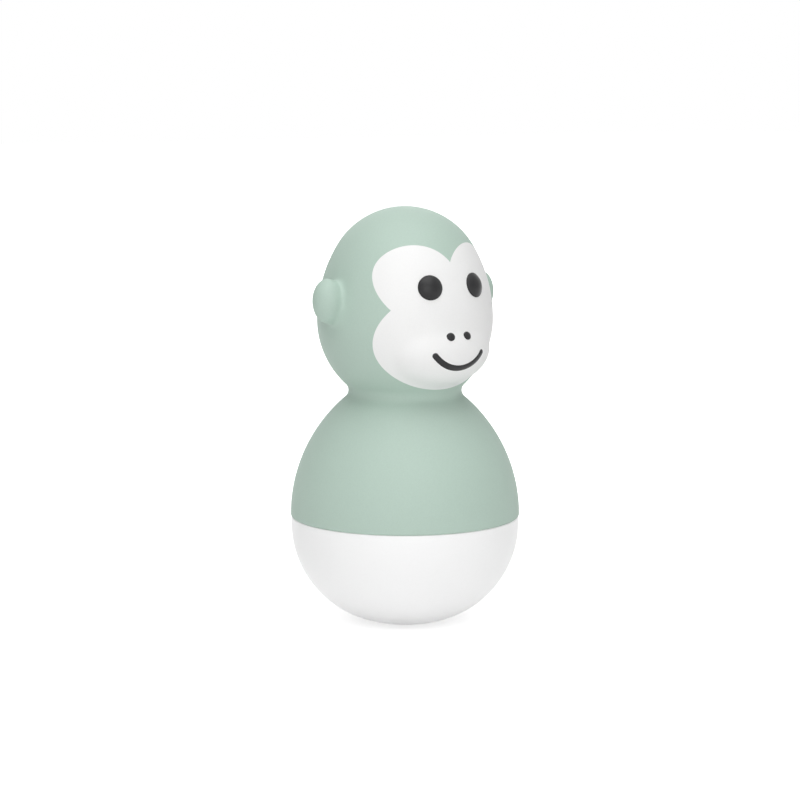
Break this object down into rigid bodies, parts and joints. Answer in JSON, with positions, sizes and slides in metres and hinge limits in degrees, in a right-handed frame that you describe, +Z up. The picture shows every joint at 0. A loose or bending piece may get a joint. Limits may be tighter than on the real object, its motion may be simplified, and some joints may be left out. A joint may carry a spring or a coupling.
{
  "type": "roly poly toy",
  "caption": "Soft-skinned monkey figure on a weighted round bowl base that rocks and stands up again when it is pushed over.",
  "frame": {"origin": "centre of the small flat under the bowl that the upright toy rests on", "axes": "+Z up along the toy's axis, the face looks along -Y, +X towards the figure's left ear"},
  "size_m": [0.06, 0.06, 0.1094],
  "materials": {
    "bowl_white": "satin",
    "skin_green": "matte",
    "face_white": "matte",
    "feature_black": "satin",
    "core_ivory": "matte",
    "weight_steel": "satin",
    "pad_grey": "matte",
    "clamp_grey": "matte",
    "screw_steel": "polished",
    "seal_black": "satin"
  },
  "bodies": {
    "root": {"base_bowl": "bowl_white", "ballast_pad": "pad_grey", "ballast_weight": "weight_steel", "ballast_clamp": "clamp_grey", "clamp_screws": "screw_steel", "rim_seal": "seal_black", "core_front": "core_ivory", "core_rear": "core_ivory", "core_screws": "screw_steel", "body_skin": "skin_green", "face_panel": "face_white", "eye_left": "feature_black", "eye_right": "feature_black", "nostril_left": "feature_black", "nostril_right": "feature_black", "smile_inlay": "feature_black"}
  },
  "joints": []
}
